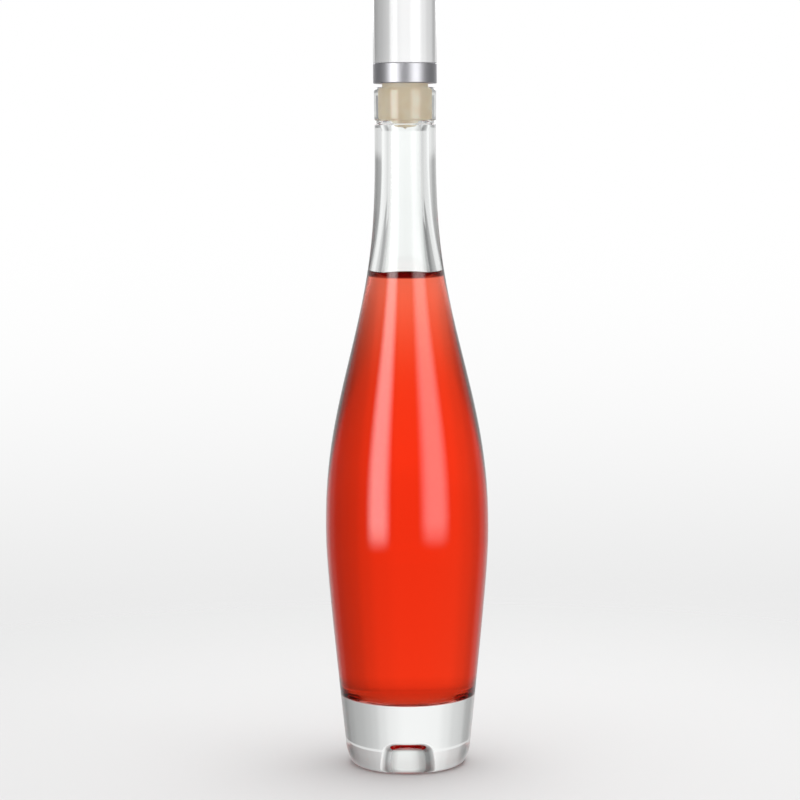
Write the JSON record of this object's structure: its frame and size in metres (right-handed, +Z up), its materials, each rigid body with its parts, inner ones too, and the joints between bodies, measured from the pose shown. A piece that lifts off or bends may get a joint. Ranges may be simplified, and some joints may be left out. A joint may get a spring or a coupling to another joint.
{
  "type": "ice wine bottle",
  "caption": "Tall clear glass bottle with a narrow neck and thick foot, filled with red ice wine and shut by a soft plug under a metal disc and a clear cylindrical cap.",
  "frame": {"origin": "centre of the foot, on the plane that the bottle stands on", "axes": "+Z up along the bottle's axis; the bottle is round, so X and Y are free"},
  "size_m": [0.0766, 0.0766, 0.3646],
  "materials": {
    "clear_glass": "clear polished heavy glass",
    "wine": "clear red wine behind glass",
    "soft_plug": "beige soft synthetic stopper",
    "satin_metal": "satin turned aluminium",
    "clear_plastic": "clear polished acrylic"
  },
  "bodies": {
    "root": {"glass_bottle": "clear_glass", "ice_wine": "wine", "stopper_plug": "soft_plug", "metal_disc": "satin_metal", "clear_cap": "clear_plastic"}
  },
  "joints": []
}
